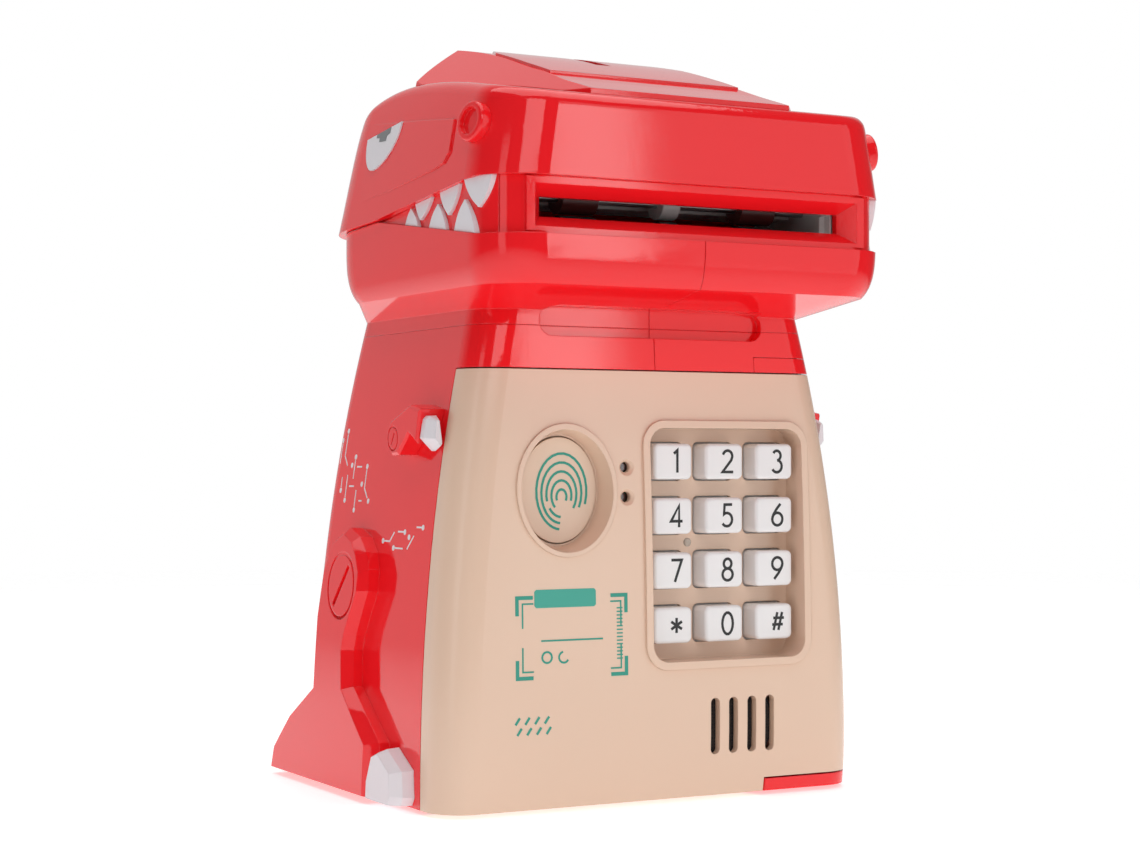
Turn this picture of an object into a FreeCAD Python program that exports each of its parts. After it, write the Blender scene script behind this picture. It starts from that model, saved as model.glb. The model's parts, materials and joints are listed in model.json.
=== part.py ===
import FreeCAD, Part
import math
import os

# Dinosaur-shaped electronic savings bank: a bell-shaped body in two halves, a keypad door hinged on the
# right, a two-part head with the banknote slot in its mouth, and the note feeder inside the head.
# +X is the viewer's right, the door faces -Y, +Z is up. Millimetres.

Vector = FreeCAD.Vector
os.makedirs("parts", exist_ok=True)

# ---------------------------------------------------------------- driving dimensions
bodyBase = 1.0            # underside of the body above the ground
bodyTop = 120.4           # seam between the neck and the jaw
bodyHalf = 61.0           # half-width near the base
bodyTaper = 9.8           # how much narrower the half-width is at doorTop
skirtTop = 26.5           # the rear skirt flares out below this height
skirtRear = 66.2          # rear edge of the skirt
wall = 2.2                # plastic wall
frontCorner = 9.5
rearCorner = 10.0
seamGap = 0.08            # half of the joint line between left and right halves
doorTop = 109.5
doorSeamY = -31.3         # plane where the door meets the body
doorGap = 0.3
hingeX = 47.5
hingeY = -35.5
pinRadius = 1.2
pinClearance = 0.06
cornerRadius = 18.0       # red base corner under the door, about the hinge axis
cornerTop = 4.2
headFront = -66.2
headHalf = 58.5
headRear = 40.0
headCorner = 15.0
headRearCorner = 22.0
lipFrontZ = 154.3         # lower edge of the upper head at the front
jawFrontZ = 140.6         # upper edge of the jaw at the front
mouthApexY = 1.0          # rear end of the open mouth
mouthApexZ = 148.7
jawCreaseZ = 128.8        # lower edge of the jaw's side wall
collarTop = 124.3         # the jaw's underside meets the neck here
bandInset = 1.8           # how far the mouth band lies behind the lips
slotHalf = 46.3
slotLow = 142.2
slotHigh = 152.4
throatHalf = 43.0
throatLow = 144.9
throatHigh = 149.7
keypadX = 20.4
keypadZ = 65.4
frameWide = 50.0
frameTall = 63.4
frameCorner = 6.5
frameRim = 2.0
keyPitchX = 15.4
keyPitchZ = 13.95
keyWide = 11.4
keyTall = 9.2
keyFront = -42.4
keyTravel = 1.2
keypadFloor = -36.5       # front of the plate that the keys come through
floorThick = 1.4
ovalX = -26.5
ovalZ = 79.5
ovalHalfX = 14.2
ovalHalfZ = 16.6
ovalFloor = -38.4
buttonHalfX = 10.8
buttonHalfZ = 13.2
lampX = -9.3
lampHeights = (77.7, 85.2)
speakerX = (16.0, 21.5, 27.1, 32.6)
speakerZ = (11.6, 26.0)
linerBack = -29.4
legProud = 5.6
noteZ = 147.3             # plane in which the banknote is fed
rollerY = -46.0
feedRadius = 5.0
idlerRadius = 4.0
gearTeeth = 27
pinionTeeth = 9
gearModule = 0.8
gearX = 46.4
motorRadius = 6.2
meshAngle = -35.0         # direction from the roller gear to the pinion, below the rear
cellRadius = 7.1
cellLength = 50.0
cellPitch = 15.0
cellY = 31.2
cellZ = 52.0


# ---------------------------------------------------------------- helpers
def block(x0, x1, y0, y1, z0, z1):
    return Part.makeBox(x1 - x0, y1 - y0, z1 - z0, Vector(x0, y0, z0))


def rod(radius, start, direction, length):
    return Part.makeCylinder(radius, length, Vector(*start), Vector(*direction))


def polygonFace(points):
    return Part.Face(Part.makePolygon([Vector(*p) for p in points] + [Vector(*points[0])]))


def prismX(points, x0, x1):
    return polygonFace([(x0, y, z) for y, z in points]).extrude(Vector(x1 - x0, 0, 0))


def roundedBlockY(x, z, wide, tall, corner, y0, y1):
    """A block along Y with rounded edges."""
    solid = block(x - wide / 2, x + wide / 2, y0, y1, z - tall / 2, z + tall / 2)
    edges = [e for e in solid.Edges if abs(e.Vertexes[0].Y - e.Vertexes[1].Y) > 0.01]
    return solid.makeFillet(corner, edges)


def ovalWire(x, z, halfX, halfZ, y):
    ellipse = Part.Ellipse(Vector(0, 0, 0), halfZ, halfX)
    wire = Part.Wire([ellipse.toShape()])
    wire.Placement = FreeCAD.Placement(Vector(x, y, z), FreeCAD.Rotation(
        Vector(0, 0, 1), Vector(1, 0, 0), Vector(0, 1, 0), "ZXY"))
    return wire


def ovalPrism(x, z, halfX, halfZ, y0, y1):
    return Part.Face(ovalWire(x, z, halfX, halfZ, y0)).extrude(Vector(0, y1 - y0, 0))


def mirrored(shape):
    return shape.mirror(Vector(0, 0, 0), Vector(1, 0, 0))


def outline(z, half, front, rear, cornerFront, cornerRear):
    """Closed plan outline: four straight sides and four arcs, starting at the front left."""
    corners = ((-half, front, cornerFront, 180), (half, front, cornerFront, 270),
               (half, rear, cornerRear, 0), (-half, rear, cornerRear, 90))
    arcs = []
    for x, y, radius, start in corners:
        centre = Vector(x - math.copysign(radius, x), y - math.copysign(radius, y), z)
        spots = []
        for turn in (0, 45, 90):
            angle = math.radians(start + turn)
            spots.append(centre + Vector(math.cos(angle), math.sin(angle), 0) * radius)
        arcs.append(spots)
    edges = []
    for index, spots in enumerate(arcs):
        following = arcs[(index + 1) % 4]
        edges.append(Part.Arc(*spots).toShape())
        edges.append(Part.LineSegment(spots[2], following[0]).toShape())
    return Part.Wire(edges)


def loft(wires, ruled=False):
    return Part.makeLoft(wires, True, ruled)


def save(name, *solids):
    shape = Part.makeCompound(list(solids)) if len(solids) > 1 else solids[0]
    shape.exportStep("parts/" + name + ".step")


# ---------------------------------------------------------------- the body's form
def bodyHalfAt(z):
    return bodyHalf - bodyTaper * (max(z, 0) / doorTop) ** 2.2


def bodyFrontAt(z):
    if z > 20:
        return -45.0 + 4.2 * ((z - 20) / 100) ** 2
    return -45.0 + 1.2 * ((20 - z) / 20) ** 2


def bodyRearAt(z):
    if z > skirtTop:
        return 45.9 - 5.6 * ((z - skirtTop) / 83.5) ** 1.2
    return 45.9 + (skirtRear - 45.9) * min((skirtTop - z) / 23.0, 1) ** 1.15


def bodySection(z, inset):
    return outline(z, bodyHalfAt(z) - inset, bodyFrontAt(z) + inset, bodyRearAt(z) - inset,
                   max(frontCorner - inset, 2), max(rearCorner - inset, 2))


def bodySolid(inset, low=bodyBase, high=bodyTop):
    skirt = loft([bodySection(z, inset) for z in (low, 5.5, 10, 15, 20.5, skirtTop)])
    bell = loft([bodySection(z, inset) for z in (skirtTop, 45, 65, 85, 105, high)])
    return skirt.fuse(bell)


bodyOuter = bodySolid(0)
bodyInner = bodySolid(wall, bodyBase - 0.6, bodyTop + 0.6)


# ---------------------------------------------------------------- leg relief on each side
def limb(base, middle, crest, xBase, xMiddle, xCrest):
    """A raised limb on the left side: three matching (y, z) outlines joined by flat flanks."""
    wires = []
    for points, x in ((base, xBase), (middle, xMiddle), (crest, xCrest)):
        wires.append(Part.makePolygon([Vector(x, y, z) for y, z in points + points[:1]]))
    return loft(wires[:2], True).fuse(loft(wires[1:], True))


legWall = [(12.0, 69.2), (5.2, 67.0), (0.8, 63.2), (-1.4, 58.8), (-1.5, 53.2), (1.6, 47.8), (5.0, 41.4),
           (6.0, 37.6),
           (5.2, 28.2), (-12.9, 15.6), (-14.5, 9.0), (-14.5, 1.6), (56, 1.6), (54, 8), (43, 17.6),
           (27.4, skirtTop), (27.0, 46), (24.5, 59), (19.5, 66.4)]
legCrest = [(11.0, 66.4), (6.0, 64.6), (2.8, 61.4), (0.2, 57.6), (0.4, 53.0), (3.4, 47.8), (6.9, 41.4),
            (7.8, 37.4),
            (6.6, 27.2), (-8.2, 14.4), (-6.6, 9), (-4.7, 1.6), (55, 1.6), (53, 7.2), (41.4, 16.8),
            (25, 26), (24.4, 45), (22, 57), (17.6, 63.8)]
legLean = 2.9
legForm = limb(legWall, legWall, legCrest, -55.5, -63.0, -66.3)
legForm.rotate(Vector(-bodyHalf, 0, 30), Vector(0, 1, 0), legLean)   # leans with the body's side
legForm = legForm.common(bodySolid(-legProud, 1.6))
thighY, thighZ, thighRadius = 10.3, 54.2, 8.4
thighFaceX = -(bodyHalfAt(thighZ) + legProud)
discGroove = rod(thighRadius + 0.45, (-70, thighY, thighZ), (1, 0, 0), 70 + thighFaceX + 0.9).cut(
    rod(thighRadius - 0.45, (-71, thighY, thighZ), (1, 0, 0), 20))
slotCut = block(-70, thighFaceX + 1.3, thighY - 6.8, thighY + 6.8, thighZ - 0.8, thighZ + 0.8)
slotCut.rotate(Vector(0, thighY, thighZ), Vector(1, 0, 0), -51)
legForm = legForm.cut(discGroove).cut(slotCut)

# white toe at the foot of the leg
toeBase = [(-9.0, 1.6), (-9.5, 6.6), (-13.0, 13.8), (-19.0, 15.4), (-28.2, 10.6), (-29.0, 3.4),
           (-27.4, 1.6)]
toeMiddle = [(-9.4, 1.6), (-9.9, 6.4), (-13.2, 13.4), (-18.4, 14.8), (-27.2, 10.2), (-27.8, 3.8),
             (-26.6, 1.6)]
toeCrest = [(-10.1, 1.6), (-10.6, 6.0), (-13.8, 12.4), (-17.4, 13.6), (-24.6, 9.6), (-24.8, 4.0),
            (-24.0, 1.6)]
toePocket = limb(toeBase, toeMiddle, toeCrest, -57.6, -64.0, -66.4)
toe = toePocket.cut(bodyOuter)
legForm = legForm.cut(toePocket).cut(bodyInner)
save("toes", toe, mirrored(toe))


# ---------------------------------------------------------------- body shells, hinge relief and hinge block
bodyShell = bodyOuter.cut(bodyInner)
neckShelf = bodyOuter.common(block(-70, 70, -70, -30, doorTop + doorGap, doorTop + 2.5))
scoop = roundedBlockY(0, 121.6, 65.5, 7.4, 3.6, -60, -38.6)
scoopPad = bodyOuter.common(block(-37, 37, -60, -36, 116, 123))
bodyShell = bodyShell.fuse(neckShelf).fuse(scoopPad)
bodyShell = bodyShell.cut(block(-70, 70, -70, doorSeamY, 0, doorTop + doorGap))
bodyShell = bodyShell.cut(scoop)
cornerPlate = bodyOuter.common(rod(cornerRadius, (hingeX, hingeY, 0), (0, 0, 1), cornerTop))
cornerPlate = cornerPlate.common(block(0, 70, -70, doorSeamY + 0.2, 0, 10))

reliefPoints = []
for z in (cornerTop, 20, 40, 60, 80, 100, doorTop + doorGap):
    reach = math.hypot(bodyHalfAt(z) - hingeX, doorSeamY - hingeY) + 0.5
    reliefPoints.append(Vector(hingeX + reach, hingeY, z))
reliefCurve = Part.BSplineCurve()
reliefCurve.interpolate(reliefPoints)
topAxis = Vector(hingeX, hingeY, doorTop + doorGap)
lowAxis = Vector(hingeX, hingeY, cornerTop)
reliefFace = Part.Face(Part.Wire([
    reliefCurve.toShape(), Part.makeLine(reliefPoints[-1], topAxis),
    Part.makeLine(topAxis, lowAxis), Part.makeLine(lowAxis, reliefPoints[0])]))
hingeRelief = reliefFace.revolve(lowAxis, Vector(0, 0, 1), 360)

hingeBlockZone = block(30, 70, -70, doorSeamY, doorTop, 113.8)
upperBore = rod(pinRadius + pinClearance, (hingeX, hingeY, 100), (0, 0, 1), 13)
lowerBore = rod(pinRadius + pinClearance, (hingeX, hingeY, 1.9), (0, 0, 1), 8)
hingeBlock = bodyOuter.common(block(30.1, 70, -70, doorSeamY - 0.1, doorTop + doorGap,
                                    113.7)).cut(upperBore)
save("hinge_block", hingeBlock)

leftHalf = block(-90, -seamGap, -90, 90, -5, 250)
rightHalf = block(seamGap, 90, -90, 90, -5, 250)

batteryDoorCut = block(-32, 32, 30, 60, 29, 75)
rearScrewPlaces = ((-38, 96), (38, 96), (-44, 34), (44, 34))
rearScrewHoles = []
for x, z in rearScrewPlaces:
    rearScrewHoles.append(rod(3.3, (x, 60, z), (0, -1, 0), 60 - bodyRearAt(z) + 1.2))
    rearScrewHoles.append(rod(1.5, (x, 60, z), (0, -1, 0), 34))

leftShell = bodyShell.common(leftHalf).fuse(legForm).cut(batteryDoorCut)
rightShell = bodyShell.common(rightHalf).cut(hingeBlockZone).cut(hingeRelief)
rightShell = rightShell.fuse(mirrored(legForm)).fuse(cornerPlate).cut(lowerBore).cut(batteryDoorCut)
for hole in rearScrewHoles:
    leftShell = leftShell.cut(hole)
    rightShell = rightShell.cut(hole)
save("body_left_shell", leftShell)
save("body_right_shell", rightShell)

rearScrews = []
for x, z in rearScrewPlaces:
    headY = bodyRearAt(z) - 1.2
    screw = rod(2.9, (x, headY, z), (0, 1, 0), 1.1).fuse(rod(1.3, (x, headY - 12, z), (0, 1, 0), 12.2))
    rearScrews.append(screw.cut(block(x - 2.2, x + 2.2, headY + 0.5, 60, z - 0.35, z + 0.35)).cut(
        block(x - 0.35, x + 0.35, headY + 0.5, 60, z - 2.2, z + 2.2)))
save("body_screws", *rearScrews)

basePlate = bodySolid(wall + 0.15).common(block(-70, 70, doorSeamY + 1.6, 70, bodyBase, bodyBase + 2.2))
save("base_plate", basePlate)
feet = []
for x, y in ((-50, -22), (50, -22), (-50, 54), (50, 54)):
    feet.append(rod(4.5, (x, y, 0), (0, 0, 1), bodyBase))
save("rubber_feet", *feet)


# ---------------------------------------------------------------- door
doorZone = block(-70, 70, -70, doorSeamY - doorGap, bodyBase, doorTop)
doorForm = bodyOuter.common(doorZone)
doorCavity = bodySolid(wall).common(block(-70, 70, -70, doorSeamY + 5, bodyBase + wall, doorTop - wall))
doorShell = doorForm.cut(doorCavity)

frameTub = roundedBlockY(keypadX, keypadZ, frameWide, frameTall, frameCorner, -60, keypadFloor + floorThick)
frameTub = frameTub.common(bodySolid(-0.7))
framePocket = roundedBlockY(keypadX, keypadZ, frameWide - 2 * frameRim, frameTall - 2 * frameRim,
                            frameCorner - frameRim, -60, keypadFloor)
ovalTub = ovalPrism(ovalX, ovalZ, ovalHalfX, ovalHalfZ, -60, ovalFloor + floorThick).common(bodySolid(-0.6))
ovalPocket = loft([ovalWire(ovalX, ovalZ, ovalHalfX - 1.0, ovalHalfZ - 1.0, -45.4),
                   ovalWire(ovalX, ovalZ, ovalHalfX - 2.6, ovalHalfZ - 2.6, ovalFloor)], True)
ovalHole = ovalPrism(ovalX, ovalZ, buttonHalfX + 0.35, buttonHalfZ + 0.35, -50, -30)

doorShell = doorShell.fuse(frameTub).cut(framePocket).fuse(ovalTub).cut(ovalPocket).cut(ovalHole)

keyRows = (("1", "2", "3"), ("4", "5", "6"), ("7", "8", "9"), ("star", "0", "hash"))
keyPlaces = {}
for row, names in enumerate(keyRows):
    for column, name in enumerate(names):
        keyPlaces[name] = (keypadX + (column - 1) * keyPitchX, keypadZ + 0.3 + (1.5 - row) * keyPitchZ)
for x, z in keyPlaces.values():
    doorShell = doorShell.cut(roundedBlockY(x, z, keyWide + 0.8, keyTall + 0.8, 1.4, -40, -30))
for z in lampHeights:
    doorShell = doorShell.cut(rod(1.35, (lampX, -60, z), (0, 1, 0), 30))
    doorShell = doorShell.cut(Part.makeCone(3.2, 1.35, 2.0, Vector(lampX, bodyFrontAt(z) - 1.2, z),
                                            Vector(0, 1, 0)))
for x in speakerX:
    doorShell = doorShell.cut(roundedBlockY(x, sum(speakerZ) / 2, 2.7, speakerZ[1] - speakerZ[0], 1.3,
                                            -60, -39))

lugs = rod(3.4, (hingeX, hingeY, 98), (0, 0, 1), doorTop - 98)
lugs = lugs.fuse(rod(3.4, (hingeX, hingeY, cornerTop + 0.4), (0, 0, 1), 9))
lugs = lugs.common(doorForm)
bossPlaces = ((-46, 98), (-51, 14), (-12, 98.5), (42, 14), (-51, 40))
bosses = []
for x, z in bossPlaces:
    bosses.append(rod(3.0, (x, -44, z), (0, 1, 0), 44 + linerBack - 1.6).common(bodySolid(0.5)))
doorShell = doorShell.multiFuse([lugs] + bosses)
for x, z in bossPlaces:
    doorShell = doorShell.cut(rod(1.0, (x, -40.5, z), (0, 1, 0), 20))
doorShell = doorShell.cut(rod(cornerRadius + 0.4, (hingeX, hingeY, 0), (0, 0, 1), cornerTop + 0.4))
doorShell = doorShell.cut(rod(pinRadius, (hingeX, hingeY, 100), (0, 0, 1), 20))
doorShell = doorShell.cut(rod(pinRadius, (hingeX, hingeY, 2), (0, 0, 1), 10))
save("door_shell", doorShell)
save("hinge_pins", rod(pinRadius, (hingeX, hingeY, 100), (0, 0, 1), 12.6),
     rod(pinRadius, (hingeX, hingeY, 2.3), (0, 0, 1), 9.7))

liner = bodySolid(wall + 1.2).common(block(-70, 70, linerBack - 1.5, linerBack, 8, 105))
liner = liner.cut(rod(4.2, (hingeX, hingeY, 0), (0, 0, 1), 120))
doorScrews = []
for x, z in bossPlaces:
    liner = liner.cut(rod(1.5, (x, -40, z), (0, 1, 0), 20))
    screw = rod(0.95, (x, -39, z), (0, 1, 0), 39 + linerBack).fuse(rod(2.3, (x, linerBack, z), (0, 1, 0),
                                                                       1.3))
    doorScrews.append(screw.cut(block(x - 1.7, x + 1.7, linerBack + 0.7, -20, z - 0.3, z + 0.3)))
save("door_liner", liner)
save("door_screws", *doorScrews)

keyFlange = keypadFloor + floorThick + 0.1
for name, (x, z) in keyPlaces.items():
    cap = roundedBlockY(x, z, keyWide, keyTall, 1.5, keyFront, keyFlange + 0.2)
    face = [e for e in cap.Edges if max(v.Y for v in e.Vertexes) < keyFront + 0.01]
    cap = cap.makeFillet(0.9, face)
    flange = block(x - 6.9, x + 6.9, keyFlange, keyFlange + 0.8, z - 5.6, z + 5.6)
    save("key_" + name, cap.fuse(flange))

membraneFront = keyFlange + 0.8 + keyTravel + 0.15
membrane = block(keypadX - 23.5, keypadX + 23.5, membraneFront, membraneFront + 0.6, keypadZ - 28.5,
                 keypadZ + 29)
board = block(keypadX - 24, keypadX + 23.5, membraneFront + 0.6, membraneFront + 1.8, keypadZ - 29,
              keypadZ + 29.5)
save("key_membrane", membrane)
save("keypad_board", board)

button = ovalPrism(ovalX, ovalZ, buttonHalfX, buttonHalfZ, ovalFloor - 0.5, ovalFloor + floorThick + 0.3)
buttonFlange = ovalPrism(ovalX, ovalZ, buttonHalfX + 1.4, buttonHalfZ + 1.4, ovalFloor + floorThick + 0.1,
                         ovalFloor + floorThick + 0.9)
save("fingerprint_button", button.fuse(buttonFlange))

lamps = []
for z in lampHeights:
    lamps.append(rod(1.1, (lampX, -41.0, z), (0, 1, 0), 5).fuse(rod(1.5, (lampX, -37.5, z), (0, 1, 0),
                                                                    1.5)))
save("led_lamps", *lamps)
speakerCentre = (sum(speakerX) / 4, sum(speakerZ) / 2)
speaker = rod(11.0, (speakerCentre[0], -42.2, speakerCentre[1]), (0, 1, 0), 2.4)
speaker = speaker.fuse(rod(5.5, (speakerCentre[0], -40, speakerCentre[1]), (0, 1, 0), 3.4))
save("speaker", speaker)

catch = block(-49.5, -47.5, linerBack, linerBack + 9, 50, 62).cut(block(-50, -47, linerBack + 3.6,
                                                                        linerBack + 7.2, 53, 59))
save("door_catch", catch)
solenoid = block(-44.5, -30.5, linerBack + 1.5, linerBack + 10.5, 50.5, 61.5).cut(
    block(-45, -29, linerBack + 3.9, linerBack + 6.9, 53.4, 58.6))
bracket = block(-44.5, -30.5, linerBack + 10.5, linerBack + 12.5, bodyBase + 2.2, 61.5)
bracketFoot = block(-44.5, -30.5, linerBack + 4.5, linerBack + 12.5, bodyBase + 2.2, bodyBase + 4.2)
save("latch_solenoid", solenoid)
save("latch_bracket", bracket.fuse(bracketFoot))
bolt = block(-46.4, -32, linerBack + 4.1, linerBack + 6.7, 53.7, 58.3)
save("latch_bolt", bolt)


# ---------------------------------------------------------------- battery box in the back
batteryBox = block(-30.5, 30.5, cellY - 9.2, cellY + 8.6, cellZ - 23.8, cellZ + 23.8).cut(
    block(-28.5, 28.5, cellY - 7.5, 60, cellZ - 22.4, cellZ + 22.4))
save("battery_box", batteryBox)
cells = []
contacts = []
for index in (-1, 0, 1):
    z = cellZ + index * (cellPitch - 0.3)
    cells.append(rod(cellRadius, (-25, cellY - 0.2, z), (1, 0, 0), cellLength - 1.5).fuse(
        rod(2.6, (-25 + cellLength - 1.5, cellY - 0.2, z), (1, 0, 0), 1.3)))
    for x in (-27.6, 26.5):
        contacts.append(block(x, x + 0.8, cellY - 5, cellY + 5, z - 5, z + 5))
save("battery_cells", *cells)
save("battery_contacts", *contacts)
batteryCover = bodyOuter.cut(bodyInner).common(block(-31.7, 31.7, 30, 60, 29.3, 74.7))
batteryCover = batteryCover.cut(rod(1.3, (0, 30, 71.5), (0, 1, 0), 40)).cut(
    rod(2.7, (0, bodyRearAt(71.5) - 0.9, 71.5), (0, 1, 0), 10))
save("battery_cover", batteryCover)
save("battery_cover_screw", rod(2.4, (0, bodyRearAt(71.5) - 0.8, 71.5), (0, 1, 0), 1.0).fuse(
    rod(1.1, (0, bodyRearAt(71.5) - 3.2, 71.5), (0, 1, 0), 2.6)))
mainBoard = block(-32, 32, 34.4, 36.0, 80, 112)
for x, z, wide in ((-14, 100, 12), (12, 94, 9), (20, 106, 7)):
    mainBoard = mainBoard.fuse(block(x - wide / 2, x + wide / 2, 32.8, 34.5, z - wide / 2, z + wide / 2))
save("main_board", mainBoard)


# ---------------------------------------------------------------- arms and claws
armOutline = [(-9.0, 94.6), (-10.6, 96.8), (-22.7, 100.8), (-28.9, 99.6), (-26.9, 91.0), (-22.1, 93.6),
              (-15.8, 88.3), (-11.6, 88.1), (-8.8, 90.8)]
armCrest = [(-9.7, 94.3), (-11.2, 96.2), (-22.7, 100.1), (-28.3, 99.0), (-26.5, 91.9), (-22.1, 94.4),
            (-15.4, 89.0), (-12.0, 88.8), (-9.5, 91.0)]
armFaceX = -60.0
shoulder = (armFaceX, -12.9, 92.4)
arm = limb(armOutline, armOutline, armCrest, -50, armFaceX + 0.6, armFaceX)
shoulderGroove = rod(3.2, shoulder, (1, 0, 0), 0.5).cut(rod(2.7, shoulder, (1, 0, 0), 2))
shoulderSlot = block(armFaceX - 1, armFaceX + 0.6, -14.7, -11.1, 92.1, 92.7)
shoulderSlot.rotate(Vector(*shoulder), Vector(1, 0, 0), -58)
arm = arm.cut(shoulderGroove).cut(shoulderSlot).cut(bodyOuter).cut(block(-90, 0, -90, doorSeamY, 0, 200))
clawRoot = [(-58.7, 97.2), (-58.0, 97.9), (-56.0, 98.0), (-55.4, 92.0), (-55.4, 90.4), (-56.2, 89.2),
            (-59.4, 92.4)]
clawNose = [(-57.5, 96.4), (-57.2, 96.8), (-56.6, 96.7), (-55.9, 91.6), (-55.9, 90.9), (-56.3, 90.4),
            (-57.7, 92.2)]
clawWires = []
for points, y in ((clawRoot, -28.0), (clawRoot, -30.2), (clawNose, -33.4)):
    clawWires.append(Part.makePolygon([Vector(x, y, z) for x, z in points + points[:1]]))
claw = loft(clawWires[:2], True).fuse(loft(clawWires[1:], True)).cut(arm).cut(bodyOuter)
claw = max(claw.Solids, key=lambda solid: solid.Volume)
save("arm_left", arm)
save("arm_right", mirrored(arm))
save("claws", claw, mirrored(claw))


# ---------------------------------------------------------------- head
def headHalfAt(z):
    return headHalf - 0.16 * (z - lipFrontZ) - 0.006 * max(z - 168, 0) ** 2


def headSection(z, inset):
    shrink = headHalf - headHalfAt(z)
    return outline(z, headHalfAt(z) - inset, headFront + inset + 0.25 * shrink, headRear - inset - shrink,
                   headCorner - inset, headRearCorner - inset)


headTopPoints = ((-80, 172.2), (-62, 175.0), (-40, 179.2), (-18, 182.4), (-2, 183.3), (12, 182.2),
                 (24, 178.4), (33, 171.5), (40, 161), (46, 148))


def headTopPrism(drop):
    curve = Part.BSplineCurve()
    curve.interpolate([Vector(-90, y, z - drop) for y, z in headTopPoints])
    first = Vector(-90, headTopPoints[0][0], 120)
    last = Vector(-90, headTopPoints[-1][0], 120)
    start = Vector(-90, headTopPoints[0][0], headTopPoints[0][1] - drop)
    end = Vector(-90, headTopPoints[-1][0], headTopPoints[-1][1] - drop)
    wire = Part.Wire([Part.makeLine(first, start), curve.toShape(), Part.makeLine(end, last),
                      Part.makeLine(last, first)])
    return Part.Face(wire).extrude(Vector(180, 0, 0))


def headSolid(inset):
    form = loft([headSection(z, inset) for z in (138, 150, 162, 174, 186)])
    return form.common(headTopPrism(inset))


lipProfile = [(-90, lipFrontZ), (-56, lipFrontZ), (mouthApexY, mouthApexZ), (70, mouthApexZ - 3.2),
              (70, 100), (-90, 100)]
jawProfile = [(-90, jawFrontZ), (-56, jawFrontZ), (mouthApexY, mouthApexZ - 0.25),
              (70, mouthApexZ - 3.45), (70, 250), (-90, 250)]
belowLip = prismX(lipProfile, -90, 90)
aboveJaw = prismX(jawProfile, -90, 90)


def isTopEdge(edge):
    """True for the edges where the head's top meets its sides."""
    high = min(v.Point.z for v in edge.Vertexes) > 150
    upright = edge.BoundBox.ZLength > 30 and edge.BoundBox.XLength < 8 and edge.BoundBox.YLength < 8
    return high and not upright


headOuter = headSolid(0)
headOuter = headOuter.makeFillet(4.0, [e for e in headOuter.Edges if isTopEdge(e)])
headInner = headSolid(wall)

# cheek panel on each side of the head, which fades out towards the rear
panelOutline = [(-41.3, 169.7), (-41.3, 161.7), (-38.5, 159.2), (-32.4, 158.2), (-10.1, 156.0), (14, 154.4),
                (14, 175.5), (-21.4, 172.0)]
panelTurn = 0.52
tilted = headSolid(0)
tilted.rotate(Vector(-57, 12, 0), Vector(0, 0, 1), -panelTurn)
cheek = tilted.common(prismX(panelOutline, -90, -40))
cheeks = cheek.fuse(mirrored(cheek))
headForm = headOuter.fuse(cheeks)

eyeOutline = [(11.7, 171.2), (-9.2, 173.4), (-8.5, 170.6), (-6.0, 167.4), (-1.6, 164.4), (2.8, 162.8),
              (7.0, 162.6),
              (9.6, 164.4), (11.2, 167.6)]
eyeCurve = Part.BSplineCurve()
eyeCurve.interpolate([Vector(-90, y, z) for y, z in eyeOutline[1:] + eyeOutline[:1]])
eyeEdge = Part.makeLine(Vector(-90, *eyeOutline[0]), Vector(-90, *eyeOutline[1]))
eyePrism = Part.Face(Part.Wire([eyeEdge, eyeCurve.toShape()])).extrude(Vector(60, 0, 0))
eye = eyePrism.common(headSolid(-0.6)).cut(headSolid(0.8))
save("eyes", eye, mirrored(eye))

# forehead crest
crestTop = ((-64, 175.2), (-57, 177.6), (-47, 180.6), (-37, 184.0), (-27, 187.2), (-11, 192.0),
            (0, 194.8), (10, 196.6),
            (18, 197.0), (25, 195.0), (31, 188), (36, 178), (40, 168))
crestFoot = [(-29, -60), (29, -60), (53, -30), (53, -6), (40, 18), (27, 30), (14, 34), (-14, 34),
             (-27, 30), (-40, 18),
             (-53, -6), (-53, -30)]
crestCrown = [(-27, -58), (27, -58), (47, -30), (47, -6), (21, 14), (16, 22), (10, 25), (-10, 25),
              (-16, 22), (-21, 14),
              (-47, -6), (-47, -30)]
facetFront = Vector(-29, -57, 177.5)     # the sloping side facet passes through these three points
facetRear = Vector(-29, -11, 192)
facetSide = Vector(-48, -20, 181)


def profilePrism(points, lift, low):
    line = [(y, z + lift) for y, z in points]
    curve = Part.BSplineCurve()
    curve.interpolate([Vector(-90, y, z) for y, z in line])
    corners = [Vector(-90, *line[-1]), Vector(-90, line[-1][0], low), Vector(-90, line[0][0], low),
               Vector(-90, *line[0])]
    sides = [Part.makeLine(corners[i], corners[i + 1]) for i in range(3)]
    return Part.Face(Part.Wire([curve.toShape()] + sides)).extrude(Vector(180, 0, 0))


def underFacet(inset):
    """Everything below the left side facet, moved inwards by the inset."""
    rise = (facetRear - facetFront).normalize()
    normal = (facetSide - facetFront).cross(rise).normalize()
    if normal.z < 0:
        normal = normal * -1
    across = normal.cross(rise)
    middle = facetFront - normal * inset
    corners = [middle + rise * u + across * v for u, v in ((-120, -120), (120, -120), (120, 120),
                                                           (-120, 120))]
    return polygonFace([(c.x, c.y, c.z) for c in corners]).extrude(normal * -160)


def crestSolid(inset):
    """The crest's form, made smaller all round by the inset."""
    wires = []
    for points, z in ((crestFoot, 172), (crestCrown, 199)):
        moved = []
        for x, y in points:
            reach = math.hypot(x, y + 8)
            moved.append(Vector(x - inset * x / reach, y - inset * (y + 8) / reach, z))
        wires.append(Part.makePolygon(moved + moved[:1]))
    form = loft(wires, True).common(profilePrism(crestTop, -inset, 150))
    leftFacet = underFacet(inset)
    return form.common(leftFacet).common(mirrored(leftFacet))


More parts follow.
